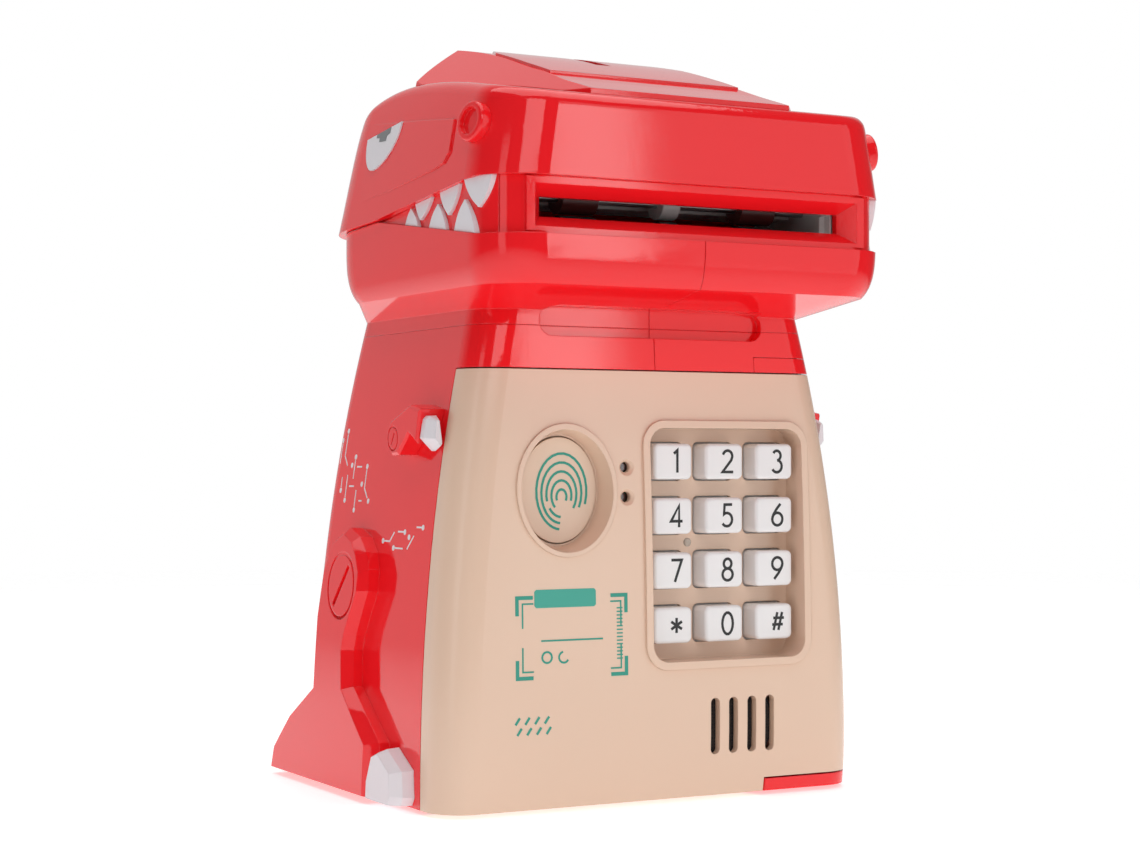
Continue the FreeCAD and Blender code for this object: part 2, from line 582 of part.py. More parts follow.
crestForm = crestSolid(0)
crestShell = crestForm.cut(crestSolid(wall)).cut(headForm)
coinSlot = block(-2.3, 2.3, -15, 14, 150, 230)
crestHole = crestSolid(wall + 1.5).common(block(-44, 44, -46, 30, 150, 230))

# nostril rings on the front corners of the snout
nostrilCentre = Vector(-56.4, -53.2, 167.2)
nostrilAxis = Vector(-1, -0.2, 0.16)
nostrilAxis.normalize()
ringRadius = 4.9


def along(centre, axis, distance):
    return centre + axis * distance


nostril = Part.makeCylinder(ringRadius, 6.6, along(nostrilCentre, nostrilAxis, -4.4), nostrilAxis)
nostril = nostril.makeFillet(0.8, [e for e in nostril.Edges if e.CenterOfMass.x < -57])
nostrilDish = Part.makeCylinder(ringRadius - 1.5, 10, along(nostrilCentre, nostrilAxis, 0.9), nostrilAxis)
nostril = nostril.cut(nostrilDish).cut(headInner)
nostril = nostril.cut(headSolid(0.6))
save("nostril_rings", nostril, mirrored(nostril))

headShell = headForm.cut(headInner).cut(belowLip).cut(eyePrism.common(headSolid(-3)).cut(headSolid(0.8)))
headShell = headShell.cut(mirrored(eyePrism.common(headSolid(-3)).cut(headSolid(0.8))))
headShell = headShell.cut(nostril).cut(mirrored(nostril)).cut(crestHole)
lipRib = headSolid(wall - 0.05).cut(headSolid(wall + 2.4)).common(block(-90, 90, -90, 60, 150,
                                                                        158)).cut(belowLip)
headShell = headShell.fuse(lipRib)
save("head_upper_shell", headShell)

coinPlateZone = [(-28, -37), (28, -37), (28.5, -28), (28.5, -8), (19, 13), (12, 19), (-12, 19), (-19, 13),
                 (-28.5, -8), (-28.5, -28)]
coinPlate = polygonFace([(x, y, 150) for x, y in coinPlateZone]).extrude(Vector(0, 0, 80))
coinPlate = coinPlate.common(profilePrism(crestTop, 0.6, 150)).cut(profilePrism(crestTop, -1.2, 140))
coinPlate = coinPlate.cut(coinSlot)
crestShell = crestShell.cut(coinPlate).cut(coinSlot)
save("head_crest", crestShell)
save("coin_plate", coinPlate)

# ---------------------------------------------------------------- jaw
def jawSection(z, inset, shrink):
    return outline(z, headHalf - 0.5 - inset - shrink, headFront + 0.3 + inset + shrink,
                   headRear - 0.4 - inset - shrink,
                   headCorner - 1 - inset, headRearCorner - inset)


def jawSolid(inset):
    side = loft([jawSection(z, inset, s) for z, s in ((jawCreaseZ, 2.6), (132.5, 0.9), (138, 0.1),
                                                      (146, 0), (152, 0))])
    chin = loft([bodySection(collarTop, inset), jawSection(jawCreaseZ, inset, 2.6)], True)
    collar = loft([bodySection(z, inset) for z in (bodyTop + 0.05 - inset, 122.3, collarTop)])
    return side.fuse(chin).fuse(collar)


jawOuter = jawSolid(0)
jawInner = jawSolid(wall)
jawShell = jawOuter.cut(jawInner).cut(aboveJaw)
scoopLid = jawOuter.common(block(-37, 37, -60, -36, bodyTop + 0.05, 126.8))
jawShell = jawShell.fuse(scoopLid).cut(scoop)
save("lower_jaw_left", jawShell.common(leftHalf))
save("lower_jaw_right", jawShell.common(rightHalf))


# ---------------------------------------------------------------- mouth band, slot bezel and teeth
def bandWall(inset, thick, low, high):
    outer = outline(low, headHalf - inset, headFront + inset, 60, headCorner - inset, 5)
    inner = outline(low, headHalf - inset - thick, headFront + inset + thick, 58,
                    headCorner - inset - thick, 4)
    height = Vector(0, 0, high - low)
    return Part.Face(outer).extrude(height).cut(Part.Face(inner).extrude(height))


band = bandWall(bandInset, 1.9, 134, 158)
mouthRoom = prismX([(-90, jawFrontZ - 4), (-56, jawFrontZ - 4), (mouthApexY + 8, mouthApexZ - 3.2),
                    (mouthApexY + 8, mouthApexZ + 2.6), (-56, lipFrontZ + 2.6), (-90, lipFrontZ + 2.6)],
                    -90, 90)
band = band.common(mouthRoom).cut(jawShell).cut(headShell)
bezelHalf = 53.5
sideBand = band.common(block(-90, -bezelHalf, -90, 90, 0, 250))

bezelFront = headFront + bandInset
bezel = block(-bezelHalf + 0.1, bezelHalf - 0.1, -90, -50, 134, 158).common(band)
tunnel = block(-48.6, 48.6, bezelFront, bezelFront + 6.2, jawFrontZ + 0.5, lipFrontZ - 0.3)
mouthCut = loft([Part.makePolygon([Vector(x, bezelFront - 0.01, z) for x, z in (
    (-slotHalf, slotLow), (slotHalf, slotLow), (slotHalf, slotHigh), (-slotHalf, slotHigh),
    (-slotHalf, slotLow))]),
    Part.makePolygon([Vector(x, bezelFront + 4.4, z) for x, z in (
        (-throatHalf, throatLow), (throatHalf, throatLow), (throatHalf, throatHigh),
        (-throatHalf, throatHigh),
        (-throatHalf, throatLow))])], True)
throat = block(-throatHalf, throatHalf, bezelFront - 5, bezelFront + 10, throatLow, throatHigh)
bezel = bezel.fuse(tunnel).cut(mouthCut).cut(throat)


def toothOn(base0, base1, tip, proud):
    """A tooth on the left of the band, from its two base points and its tip, each (distance, height).

    The distance runs along the band from the start of its front corner towards the rear."""
    radius = headCorner - bandInset
    middle = (base0[0] + base1[0]) / 2
    if middle < 0:
        angle = -middle / radius
        centre = Vector(-headHalf + headCorner, headFront + headCorner, 0)
        normal = Vector(-math.cos(angle), -math.sin(angle), 0)
        origin = centre + normal * radius
    else:
        normal = Vector(-1, 0, 0)
        origin = Vector(-headHalf + bandInset, headFront + headCorner + middle, 0)
    rearward = Vector(0, 0, 1).cross(normal) * -1

    def spot(distance, height):
        return origin + rearward * (distance - middle) + Vector(0, 0, height) - normal * 1.2

    bulge = 0.16 * abs(tip[1] - base0[1])
    left = spot(base0[0], base0[1])
    right = spot(base1[0], base1[1])
    tipLeft = spot(tip[0] - 0.45, tip[1])
    tipRight = spot(tip[0] + 0.45, tip[1])
    halfLeft = spot(base0[0] * 0.58 + tip[0] * 0.42 - bulge * 0.62, base0[1] * 0.5 + tip[1] * 0.5)
    halfRight = spot(base1[0] * 0.58 + tip[0] * 0.42 + bulge * 0.62, base1[1] * 0.5 + tip[1] * 0.5)
    over = 0.35 if tip[1] < base0[1] else -0.35
    point = spot(tip[0], tip[1] - over)
    wire = Part.Wire([Part.Arc(left, halfLeft, tipLeft).toShape(),
                      Part.Arc(tipLeft, point, tipRight).toShape(),
                      Part.Arc(tipRight, halfRight, right).toShape(), Part.makeLine(right, left)])
    return Part.Face(wire).extrude(normal * (1.2 + proud))


upperTeeth = (((-8.8, 155.4), (1.0, 154.8), (-4.3, 147.2)), ((4.3, 154.2), (15.8, 153.2), (10.7, 146.7)),
              ((19.7, 152.9), (30.0, 151.9), (26.9, 147.0)))
lowerTeeth = (((-3.9, 139.8), (7.8, 141.2), (1.6, 148.9)), ((11.8, 141.9), (22.2, 143.3), (16.7, 149.3)),
              ((27.8, 144.1), (36.3, 145.2), (32.5, 149.8)))
teeth = []
for base0, base1, tip in upperTeeth + lowerTeeth:
    tooth = toothOn(base0, base1, tip, 0.9)
    trimmed = tooth.cut(headShell).cut(jawShell)
    teeth.append(max(trimmed.Solids, key=lambda solid: solid.Volume))
save("teeth", *teeth, *[mirrored(tooth) for tooth in teeth])
for tooth in teeth:
    sideBand = sideBand.cut(tooth)
    bezel = bezel.cut(tooth).cut(mirrored(tooth))
save("slot_bezel", bezel)
save("mouth_band", sideBand, mirrored(sideBand))


# ---------------------------------------------------------------- note feeder inside the head
def gear(teeth, x, y, z, thick, bore, turn=0.0):
    """A straight-toothed gear about an axis along X."""
    pitchRadius = gearModule * teeth / 2
    points = []
    for tooth in range(teeth):
        for part, radius in ((-0.30, -1.15), (-0.21, 0.0), (-0.09, 0.8), (0.09, 0.8), (0.21, 0.0),
                             (0.30, -1.15)):
            angle = 2 * math.pi * (tooth + turn + part) / teeth
            reach = pitchRadius + radius * gearModule
            points.append((x, y + reach * math.cos(angle), z + reach * math.sin(angle)))
    return polygonFace(points).extrude(Vector(thick, 0, 0)).cut(rod(bore, (x - 1, y, z), (1, 0, 0),
                                                                    thick + 2))


feedZ = noteZ - feedRadius - 0.2
idlerZ = noteZ + idlerRadius + 0.2
frameHalf = 43.6
sidePlate = prismX([(-57.2, 133), (-38, 131), (-24, 136), (-24, 158), (-36, 161), (-57.2, 156)],
                   -frameHalf, -frameHalf + 2)
plates = sidePlate.fuse(mirrored(sidePlate))
axleHole = rod(1.5 + pinClearance, (-60, rollerY, feedZ), (1, 0, 0), 120)
idlerHole = rod(1.2 + pinClearance, (-60, rollerY, idlerZ), (1, 0, 0), 120)
crossBars = [block(-frameHalf, frameHalf, -30, -27.6, 138, 144), block(-frameHalf, frameHalf, -30, -27.6,
                                                                       151, 157),
             block(-frameHalf, frameHalf, -40.5, -28, 142.8, 144.4),
             block(-frameHalf, frameHalf, -40.5, -28, 150.2, 151.6)]
feedFrame = plates.multiFuse(crossBars).cut(axleHole).cut(idlerHole)
feedFrame = feedFrame.cut(throat)
gearDistance = gearModule * (gearTeeth + pinionTeeth) / 2 + 0.2
motorY = rollerY + gearDistance * math.cos(math.radians(meshAngle))
motorZ = feedZ + gearDistance * math.sin(math.radians(meshAngle))
gearTurn = meshAngle / 360 * gearTeeth
pinionTurn = (meshAngle + 180) / 360 * pinionTeeth - 0.5
motorMount = rod(motorRadius + 1.4, (frameHalf - 2, motorY, motorZ), (1, 0, 0), 2)
feedFrame = feedFrame.cut(rod(motorRadius + 0.5, (frameHalf - 30, motorY, motorZ), (1, 0, 0), 28))
feedFrame = feedFrame.fuse(motorMount).cut(rod(2.4, (20, motorY, motorZ), (1, 0, 0), 40)).cut(axleHole)
save("feed_frame", feedFrame)
save("feed_motor", rod(motorRadius, (frameHalf - 28, motorY, motorZ), (1, 0, 0), 25.8).fuse(
    rod(2.2, (frameHalf - 2.3, motorY, motorZ), (1, 0, 0), 1.8)))
save("motor_pinion", gear(pinionTeeth, gearX - 0.6, motorY, motorZ, 4.2, 0.6, pinionTurn).fuse(
    rod(0.61, (gearX - 1.6, motorY, motorZ), (1, 0, 0), 5.6)))
save("roller_gear", gear(gearTeeth, gearX, rollerY, feedZ, 3.0, 1.5, gearTurn))
save("feed_shaft", rod(1.5, (-frameHalf - 1.2, rollerY, feedZ), (1, 0, 0), frameHalf + 1.2 + gearX + 3.4))
feedRollers = []
idlerRollers = []
for x, wide in ((-26, 10), (0, 5), (26, 10)):
    feedRollers.append(rod(feedRadius, (x - wide / 2, rollerY, feedZ), (1, 0, 0), wide).cut(
        rod(1.5, (x - 20, rollerY, feedZ), (1, 0, 0), 40)))
    idlerRollers.append(rod(idlerRadius, (x - wide / 2, rollerY, idlerZ), (1, 0, 0), wide).cut(
        rod(1.2, (x - 20, rollerY, idlerZ), (1, 0, 0), 40)))
save("feed_rollers", *feedRollers)
save("idler_rollers", *idlerRollers)
save("idler_shaft", rod(1.2, (-frameHalf - 1.2, rollerY, idlerZ), (1, 0, 0), 2 * frameHalf + 2.4))
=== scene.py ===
import json
import math
import bpy
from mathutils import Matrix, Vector
from mathutils.bvhtree import BVHTree


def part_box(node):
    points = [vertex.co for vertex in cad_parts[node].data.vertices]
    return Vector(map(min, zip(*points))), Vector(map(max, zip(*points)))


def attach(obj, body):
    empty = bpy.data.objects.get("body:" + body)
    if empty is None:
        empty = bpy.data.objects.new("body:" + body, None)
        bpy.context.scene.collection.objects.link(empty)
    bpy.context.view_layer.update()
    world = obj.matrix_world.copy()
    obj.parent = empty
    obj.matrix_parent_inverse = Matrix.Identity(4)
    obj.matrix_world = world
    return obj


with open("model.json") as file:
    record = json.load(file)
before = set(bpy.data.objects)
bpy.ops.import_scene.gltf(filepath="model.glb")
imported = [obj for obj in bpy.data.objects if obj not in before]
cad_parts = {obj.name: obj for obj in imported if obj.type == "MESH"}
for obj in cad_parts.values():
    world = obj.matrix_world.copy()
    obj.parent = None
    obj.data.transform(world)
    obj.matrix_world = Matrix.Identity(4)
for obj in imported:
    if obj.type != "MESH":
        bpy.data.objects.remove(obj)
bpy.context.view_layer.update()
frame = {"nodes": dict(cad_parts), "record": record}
nodes = frame["nodes"]
mm = 0.001
print("bank: loaded", len(nodes), "parts")


# shared shader effects
def nodeIn(tree, kind, **values):
    node = tree.nodes.new(kind)
    for key, value in values.items():
        if key == "operation":
            node.operation = value
        else:
            node.inputs[key.replace("_", " ")].default_value = value
    return node


def join(tree, source, output, target, entry):
    tree.links.new(source.outputs[output], target.inputs[entry])


def effectGroup(name, inputs, outputs):
    tree = bpy.data.node_groups.new(name, "ShaderNodeTree")
    for label, kind, value in inputs:
        socket = tree.interface.new_socket(name=label, in_out="INPUT", socket_type=kind)
        if value is not None:
            socket.default_value = value
    for label, kind in outputs:
        tree.interface.new_socket(name=label, in_out="OUTPUT", socket_type=kind)
    return tree, tree.nodes.new("NodeGroupInput"), tree.nodes.new("NodeGroupOutput")


def buildMouldGrain():
    # fine skin of a moulded part, and slow patches where it cooled unevenly
    tree, start, end = effectGroup(
        "mouldGrain",
        (("Vector", "NodeSocketVector", None), ("Grain Scale", "NodeSocketFloat", 1600.0),
         ("Patch Scale", "NodeSocketFloat", 14.0)),
        (("Height", "NodeSocketFloat"), ("Patch", "NodeSocketFloat")))
    fine = nodeIn(tree, "ShaderNodeTexNoise", Detail=3.0, Roughness=0.6)
    wave = nodeIn(tree, "ShaderNodeTexNoise", Scale=95.0, Detail=1.0)
    slow = nodeIn(tree, "ShaderNodeTexNoise", Detail=2.0, Roughness=0.5)
    for texture in (fine, wave, slow):
        join(tree, start, "Vector", texture, "Vector")
    join(tree, start, "Grain Scale", fine, "Scale")
    join(tree, start, "Patch Scale", slow, "Scale")
    total = nodeIn(tree, "ShaderNodeMath", operation="MULTIPLY_ADD")
    total.inputs[1].default_value = 2.2
    join(tree, wave, "Fac", total, 0)
    join(tree, fine, "Fac", total, 2)
    join(tree, total, "Value", end, "Height")
    spread = nodeIn(tree, "ShaderNodeMapRange")
    spread.inputs["From Min"].default_value = 0.1
    spread.inputs["From Max"].default_value = 0.9
    join(tree, slow, "Fac", spread, "Value")
    join(tree, spread, "Result", end, "Patch")
    return tree


def buildEdgeRub():
    # rounds the shading of hard edges and says where they are rubbed
    tree, start, end = effectGroup(
        "edgeRub",
        (("Vector", "NodeSocketVector", None), ("Radius", "NodeSocketFloat", 0.0004),
         ("Spread", "NodeSocketFloat", 0.35)),
        (("Normal", "NodeSocketVector"), ("Edge", "NodeSocketFloat")))
    rounded = tree.nodes.new("ShaderNodeBevel")
    rounded.samples = 4
    join(tree, start, "Radius", rounded, "Radius")
    geometry = tree.nodes.new("ShaderNodeNewGeometry")
    likeness = nodeIn(tree, "ShaderNodeVectorMath", operation="DOT_PRODUCT")
    join(tree, rounded, "Normal", likeness, 0)
    join(tree, geometry, "Normal", likeness, 1)
    bend = nodeIn(tree, "ShaderNodeMath", operation="SUBTRACT")
    bend.inputs[0].default_value = 1.0
    join(tree, likeness, "Value", bend, 1)
    scaled = nodeIn(tree, "ShaderNodeMapRange")
    scaled.inputs["From Min"].default_value = 0.01
    join(tree, bend, "Value", scaled, "Value")
    join(tree, start, "Spread", scaled, "From Max")
    broken = nodeIn(tree, "ShaderNodeTexNoise", Scale=220.0, Detail=3.0)
    join(tree, start, "Vector", broken, "Vector")
    rubbed = nodeIn(tree, "ShaderNodeMath", operation="MULTIPLY")
    join(tree, scaled, "Result", rubbed, 0)
    join(tree, broken, "Fac", rubbed, 1)
    join(tree, rounded, "Normal", end, "Normal")
    join(tree, rubbed, "Value", end, "Edge")
    return tree


def buildDustFilm():
    # a thin film on faces that look up
    tree, start, end = effectGroup(
        "dustFilm",
        (("Vector", "NodeSocketVector", None), ("Amount", "NodeSocketFloat", 0.1)),
        (("Dust", "NodeSocketFloat"),))
    geometry = tree.nodes.new("ShaderNodeNewGeometry")
    split = tree.nodes.new("ShaderNodeSeparateXYZ")
    join(tree, geometry, "Normal", split, "Vector")
    upward = nodeIn(tree, "ShaderNodeMapRange")
    upward.inputs["From Min"].default_value = 0.35
    join(tree, split, "Z", upward, "Value")
    specks = nodeIn(tree, "ShaderNodeTexNoise", Scale=420.0, Detail=4.0, Roughness=0.7)
    join(tree, start, "Vector", specks, "Vector")
    film = nodeIn(tree, "ShaderNodeMath", operation="MULTIPLY")
    join(tree, upward, "Result", film, 0)
    join(tree, specks, "Fac", film, 1)
    amount = nodeIn(tree, "ShaderNodeMath", operation="MULTIPLY")
    join(tree, film, "Value", amount, 0)
    join(tree, start, "Amount", amount, 1)
    join(tree, amount, "Value", end, "Dust")
    return tree


mouldGrain = buildMouldGrain()
edgeRub = buildEdgeRub()
dustFilm = buildDustFilm()


def finish(name, settings):
    material = bpy.data.materials.new(name)
    material.use_nodes = True
    tree = material.node_tree
    shader = tree.nodes["Principled BSDF"]
    place = tree.nodes.new("ShaderNodeTexCoord")
    groups = {}
    for label, group in (("grain", mouldGrain), ("edge", edgeRub), ("dust", dustFilm)):
        groups[label] = tree.nodes.new("ShaderNodeGroup")
        groups[label].node_tree = group
        join(tree, place, "Object", groups[label], "Vector")
    groups["grain"].inputs["Grain Scale"].default_value = settings.get("grainScale", 1600.0)
    groups["grain"].inputs["Patch Scale"].default_value = settings.get("patchScale", 14.0)
    groups["edge"].inputs["Radius"].default_value = settings.get("edgeRadius", 0.35) * mm
    groups["dust"].inputs["Amount"].default_value = settings.get("dust", 0.05)
    colour = settings["colour"]
    worn = settings.get("wornColour", tuple(min(1.0, c * 1.12 + 0.03) for c in colour))
    shade = tuple(c * settings.get("patchShade", 0.975) for c in colour)
    mixes = (("Patch", "grain", shade), ("Edge", "edge", worn), ("Dust", "dust", (0.78, 0.76, 0.74)))
    below = None
    for label, source, tone in mixes:
        mix = tree.nodes.new("ShaderNodeMix")
        mix.data_type = "RGBA"
        mix.inputs[6].default_value = (*colour, 1.0)
        mix.inputs[7].default_value = (*tone, 1.0)
        tree.links.new(groups[source].outputs[label], mix.inputs[0])
        if below:
            tree.links.new(below.outputs[2], mix.inputs[6])
        below = mix
    tree.links.new(below.outputs[2], shader.inputs["Base Color"])
    rough = nodeIn(tree, "ShaderNodeMapRange")
    rough.inputs["To Min"].default_value = settings["rough"]
    rough.inputs["To Max"].default_value = settings["rough"] + settings.get("roughSpread", 0.04)
    join(tree, groups["grain"], "Patch", rough, "Value")
    join(tree, rough, "Result", shader, "Roughness")
    if "sideColour" in settings:
        # parts away from the middle are moulded in another colour
        split = tree.nodes.new("ShaderNodeSeparateXYZ")
        reach = nodeIn(tree, "ShaderNodeMath", operation="ABSOLUTE")
        beyond = nodeIn(tree, "ShaderNodeMath", operation="GREATER_THAN")
        beyond.inputs[1].default_value = settings["sideStart"] * mm
        join(tree, place, "Object", split, "Vector")
        join(tree, split, "X", reach, 0)
        join(tree, reach, "Value", beyond, 0)
        mix = tree.nodes.new("ShaderNodeMix")
        mix.data_type = "RGBA"
        mix.inputs[7].default_value = (*settings["sideColour"], 1.0)
        tree.links.new(beyond.outputs["Value"], mix.inputs[0])
        tree.links.new(below.outputs[2], mix.inputs[6])
        tree.links.new(mix.outputs[2], shader.inputs["Base Color"])
    bump = tree.nodes.new("ShaderNodeBump")
    bump.inputs["Strength"].default_value = settings.get("bump", 0.05)
    bump.inputs["Distance"].default_value = 0.0002
    join(tree, groups["grain"], "Height", bump, "Height")
    join(tree, groups["edge"], "Normal", bump, "Normal")
    join(tree, bump, "Normal", shader, "Normal")
    shader.inputs["Metallic"].default_value = settings.get("metal", 0.0)
    shader.inputs["IOR"].default_value = settings.get("ior", 1.5)
    shader.inputs["Coat Weight"].default_value = settings.get("coat", 0.0)
    shader.inputs["Coat Roughness"].default_value = 0.06
    shader.inputs["Transmission Weight"].default_value = settings.get("clear", 0.0)
    return material


plastics = {
    "red_shell": {"colour": (0.93, 0.012, 0.018), "rough": 0.035, "roughSpread": 0.03, "bump": 0.03,
                  "dust": 0.02, "wornColour": (0.95, 0.035, 0.04)},
    "beige_door": {"colour": (0.80, 0.575, 0.435), "rough": 0.2, "bump": 0.04, "dust": 0.02},
    "claw_white": {"colour": (0.80, 0.765, 0.80), "rough": 0.3, "bump": 0.05},
    "key_white": {"colour": (0.86, 0.85, 0.85), "rough": 0.22, "bump": 0.04},
    "button_beige": {"colour": (0.80, 0.60, 0.46), "rough": 0.32, "bump": 0.05},
    "steel": {"colour": (0.58, 0.58, 0.59), "rough": 0.28, "metal": 1.0, "grainScale": 2600.0},
    "foot_rubber": {"colour": (0.035, 0.035, 0.036), "rough": 0.7, "bump": 0.3, "dust": 0.25},
    "frame_white": {"colour": (0.80, 0.79, 0.77), "rough": 0.4, "bump": 0.08},
    "motor_can": {"colour": (0.50, 0.51, 0.53), "rough": 0.34, "metal": 1.0},
    "board_green": {"colour": (0.02, 0.20, 0.07), "rough": 0.4, "bump": 0.15},
    "black_plastic": {"colour": (0.02, 0.02, 0.022), "rough": 0.45, "bump": 0.12},
    "lamp_dark": {"colour": (0.05, 0.02, 0.02), "rough": 0.12, "coat": 0.6},
}
extras = {
    "idlerPair": {"colour": (0.80, 0.79, 0.77), "rough": 0.35, "bump": 0.08,
                  "sideColour": (0.11, 0.02, 0.018), "sideStart": 8.0},
}
inks = {
    "tealInk": {"colour": (0.028, 0.33, 0.245), "rough": 0.4, "edgeRadius": 0.03, "patchShade": 0.9},
    "tagInk": {"colour": (0.055, 0.40, 0.31), "rough": 0.4, "edgeRadius": 0.03, "patchShade": 0.92},
    "whiteInk": {"colour": (0.82, 0.80, 0.82), "rough": 0.4, "edgeRadius": 0.03},
    "keyInk": {"colour": (0.012, 0.012, 0.013), "rough": 0.35, "edgeRadius": 0.03},
    "pupilGrey": {"colour": (0.17, 0.18, 0.19), "rough": 0.3, "edgeRadius": 0.05},
    "clearPip": {"colour": (0.85, 0.80, 0.72), "rough": 0.08, "clear": 0.55},
    "grilleCloth": {"colour": (0.05, 0.04, 0.035), "rough": 0.8, "bump": 0.3},
}
materials = {name: finish(name, settings) for name, settings in {**plastics, **extras, **inks}.items()}
for part in frame["record"]["subparts"]:
    slots = nodes[part["node"]].data.materials
    slots.clear()
    slots.append(materials[part["material_slot"]])
nodes["idler_rollers"].data.materials[0] = materials["idlerPair"]
print("bank: finishes", len(materials))


# flat shapes that are laid onto a surface
outside = 0.15  # where the search for the surface starts, in metres from the middle


class Side:
    def __init__(self, across, inward, node):
        self.across = Vector(across)
        self.up = Vector((0, 0, 1))
        self.inward = Vector(inward)
        mesh = nodes[node].data
        corners = [vertex.co for vertex in mesh.vertices]
        self.surface = BVHTree.FromPolygons(corners, [face.vertices for face in mesh.polygons])

    def land(self, point):
        # where a point of the flat drawing meets the part, going inward
        across = self.across.dot(point)
        up = self.up.dot(point)
        depth = self.inward.dot(point)
        start = self.across * across + self.up * up - self.inward * outside
        hit = self.surface.ray_cast(start, self.inward)[0]
        if hit is None:
            return point.copy()
        return hit + self.inward * depth


def ribbon(points, width, closed=False):
    # a line of even width with mitred corners: its outline points and its quads
    count = len(points)
    spots = [Vector((x, z)) for x, z in points]
    pairs = []
    for index, spot in enumerate(spots):
        before = spots[index - 1] if index > 0 or closed else spot
        after = spots[(index + 1) % count] if index < count - 1 or closed else spot
        first = (spot - before).normalized() if before != spot else (after - spot).normalized()
        second = (after - spot).normalized() if after != spot else first
        middle = (first + second).normalized()
        normal = Vector((-middle.y, middle.x))
        reach = width / 2 / max(0.45, normal.dot(Vector((-first.y, first.x))))
        pairs.append((spot - normal * reach, spot + normal * reach))
    flat = [p for pair in pairs for p in pair]
    quads = []
    for index in range(count if closed else count - 1):
        right = index * 2
        nextRight = ((index + 1) % count) * 2
        quads.append((right, nextRight, nextRight + 1, right + 1))
    return flat, quads


def filled(points):
    return [Vector((x, z)) for x, z in points], [tuple(range(len(points)))]


def arc(x, z, wide, tall, start, turn, steps=18):
    spots = []
    for step in range(steps + 1):
        angle = math.radians(start + turn * step / steps)
        spots.append((x + wide * math.cos(angle), z + tall * math.sin(angle)))
    return spots


def dense(points, step=2.5):
    # more points on the long runs, so that a line can follow a bent surface
    spots = [points[0]]
    for (x0, z0), (x1, z1) in zip(points, points[1:]):
        pieces = max(1, int(math.hypot(x1 - x0, z1 - z0) / step))
        for piece in range(1, pieces + 1):
            spots.append((x0 + (x1 - x0) * piece / pieces, z0 + (z1 - z0) * piece / pieces))
    return spots


def layDown(name, side, shapes, material, body, lift=0.07, sink=0.05):
    # turns flat shapes into a thin closed skin on the side's surface
    points = []
    faces = []
    for order, (flat, polygons) in enumerate(shapes):
        base = len(points)
        count = len(flat)
        for depth in (-lift - 0.003 * (order % 7), sink):
            for spot in flat:
                points.append(side.land((side.across * spot.x + side.up * spot.y + side.inward * depth) * mm))
        rims = {}
        for polygon in polygons:
            faces.append(tuple(base + i for i in polygon))
            faces.append(tuple(base + count + i for i in reversed(polygon)))
            for first, second in zip(polygon, polygon[1:] + polygon[:1]):
                rims[(first, second)] = True
        for first, second in rims:
            if (second, first) not in rims:
                faces.append((base + second, base + first, base + count + first, base + count + second))
    mesh = bpy.data.meshes.new(name)
    mesh.from_pydata(points, [], faces)
    mesh.materials.append(materials[material])
    piece = bpy.data.objects.new(name, mesh)
    bpy.context.scene.collection.objects.link(piece)
    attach(piece, body)
    return piece


# Geometry Nodes: rows, rings and weaves
def growTree(name, inputs):
    tree = bpy.data.node_groups.new(name, "GeometryNodeTree")
    for label, kind in inputs:
        tree.interface.new_socket(name=label, in_out="INPUT", socket_type=kind)
    tree.interface.new_socket(name="Geometry", in_out="OUTPUT", socket_type="NodeSocketGeometry")
    return tree, tree.nodes.new("NodeGroupInput"), tree.nodes.new("NodeGroupOutput")


def closeTree(tree, start, end, last, output):
    # real geometry with its material, ready to be a plain mesh
    real = tree.nodes.new("GeometryNodeRealizeInstances")
    paint = tree.nodes.new("GeometryNodeSetMaterial")
    join(tree, last, output, real, "Geometry")
    join(tree, real, "Geometry", paint, "Geometry")
    join(tree, start, "Material", paint, "Material")
    join(tree, paint, "Geometry", end, "Geometry")


def buildBarRow():
    tree, start, end = growTree("barRow", (
        ("Count", "NodeSocketInt"), ("Start", "NodeSocketVector"), ("Step", "NodeSocketVector"),
        ("Bar Size", "NodeSocketVector"), ("Material", "NodeSocketMaterial")))
    line = tree.nodes.new("GeometryNodeMeshLine")
    bar = tree.nodes.new("GeometryNodeMeshCube")
    copies = tree.nodes.new("GeometryNodeInstanceOnPoints")
    join(tree, start, "Count", line, "Count")
    join(tree, start, "Start", line, "Start Location")
    join(tree, start, "Step", line, "Offset")
    join(tree, start, "Bar Size", bar, "Size")
    join(tree, line, "Mesh", copies, "Points")
    join(tree, bar, "Mesh", copies, "Instance")
    closeTree(tree, start, end, copies, "Instances")
    return tree


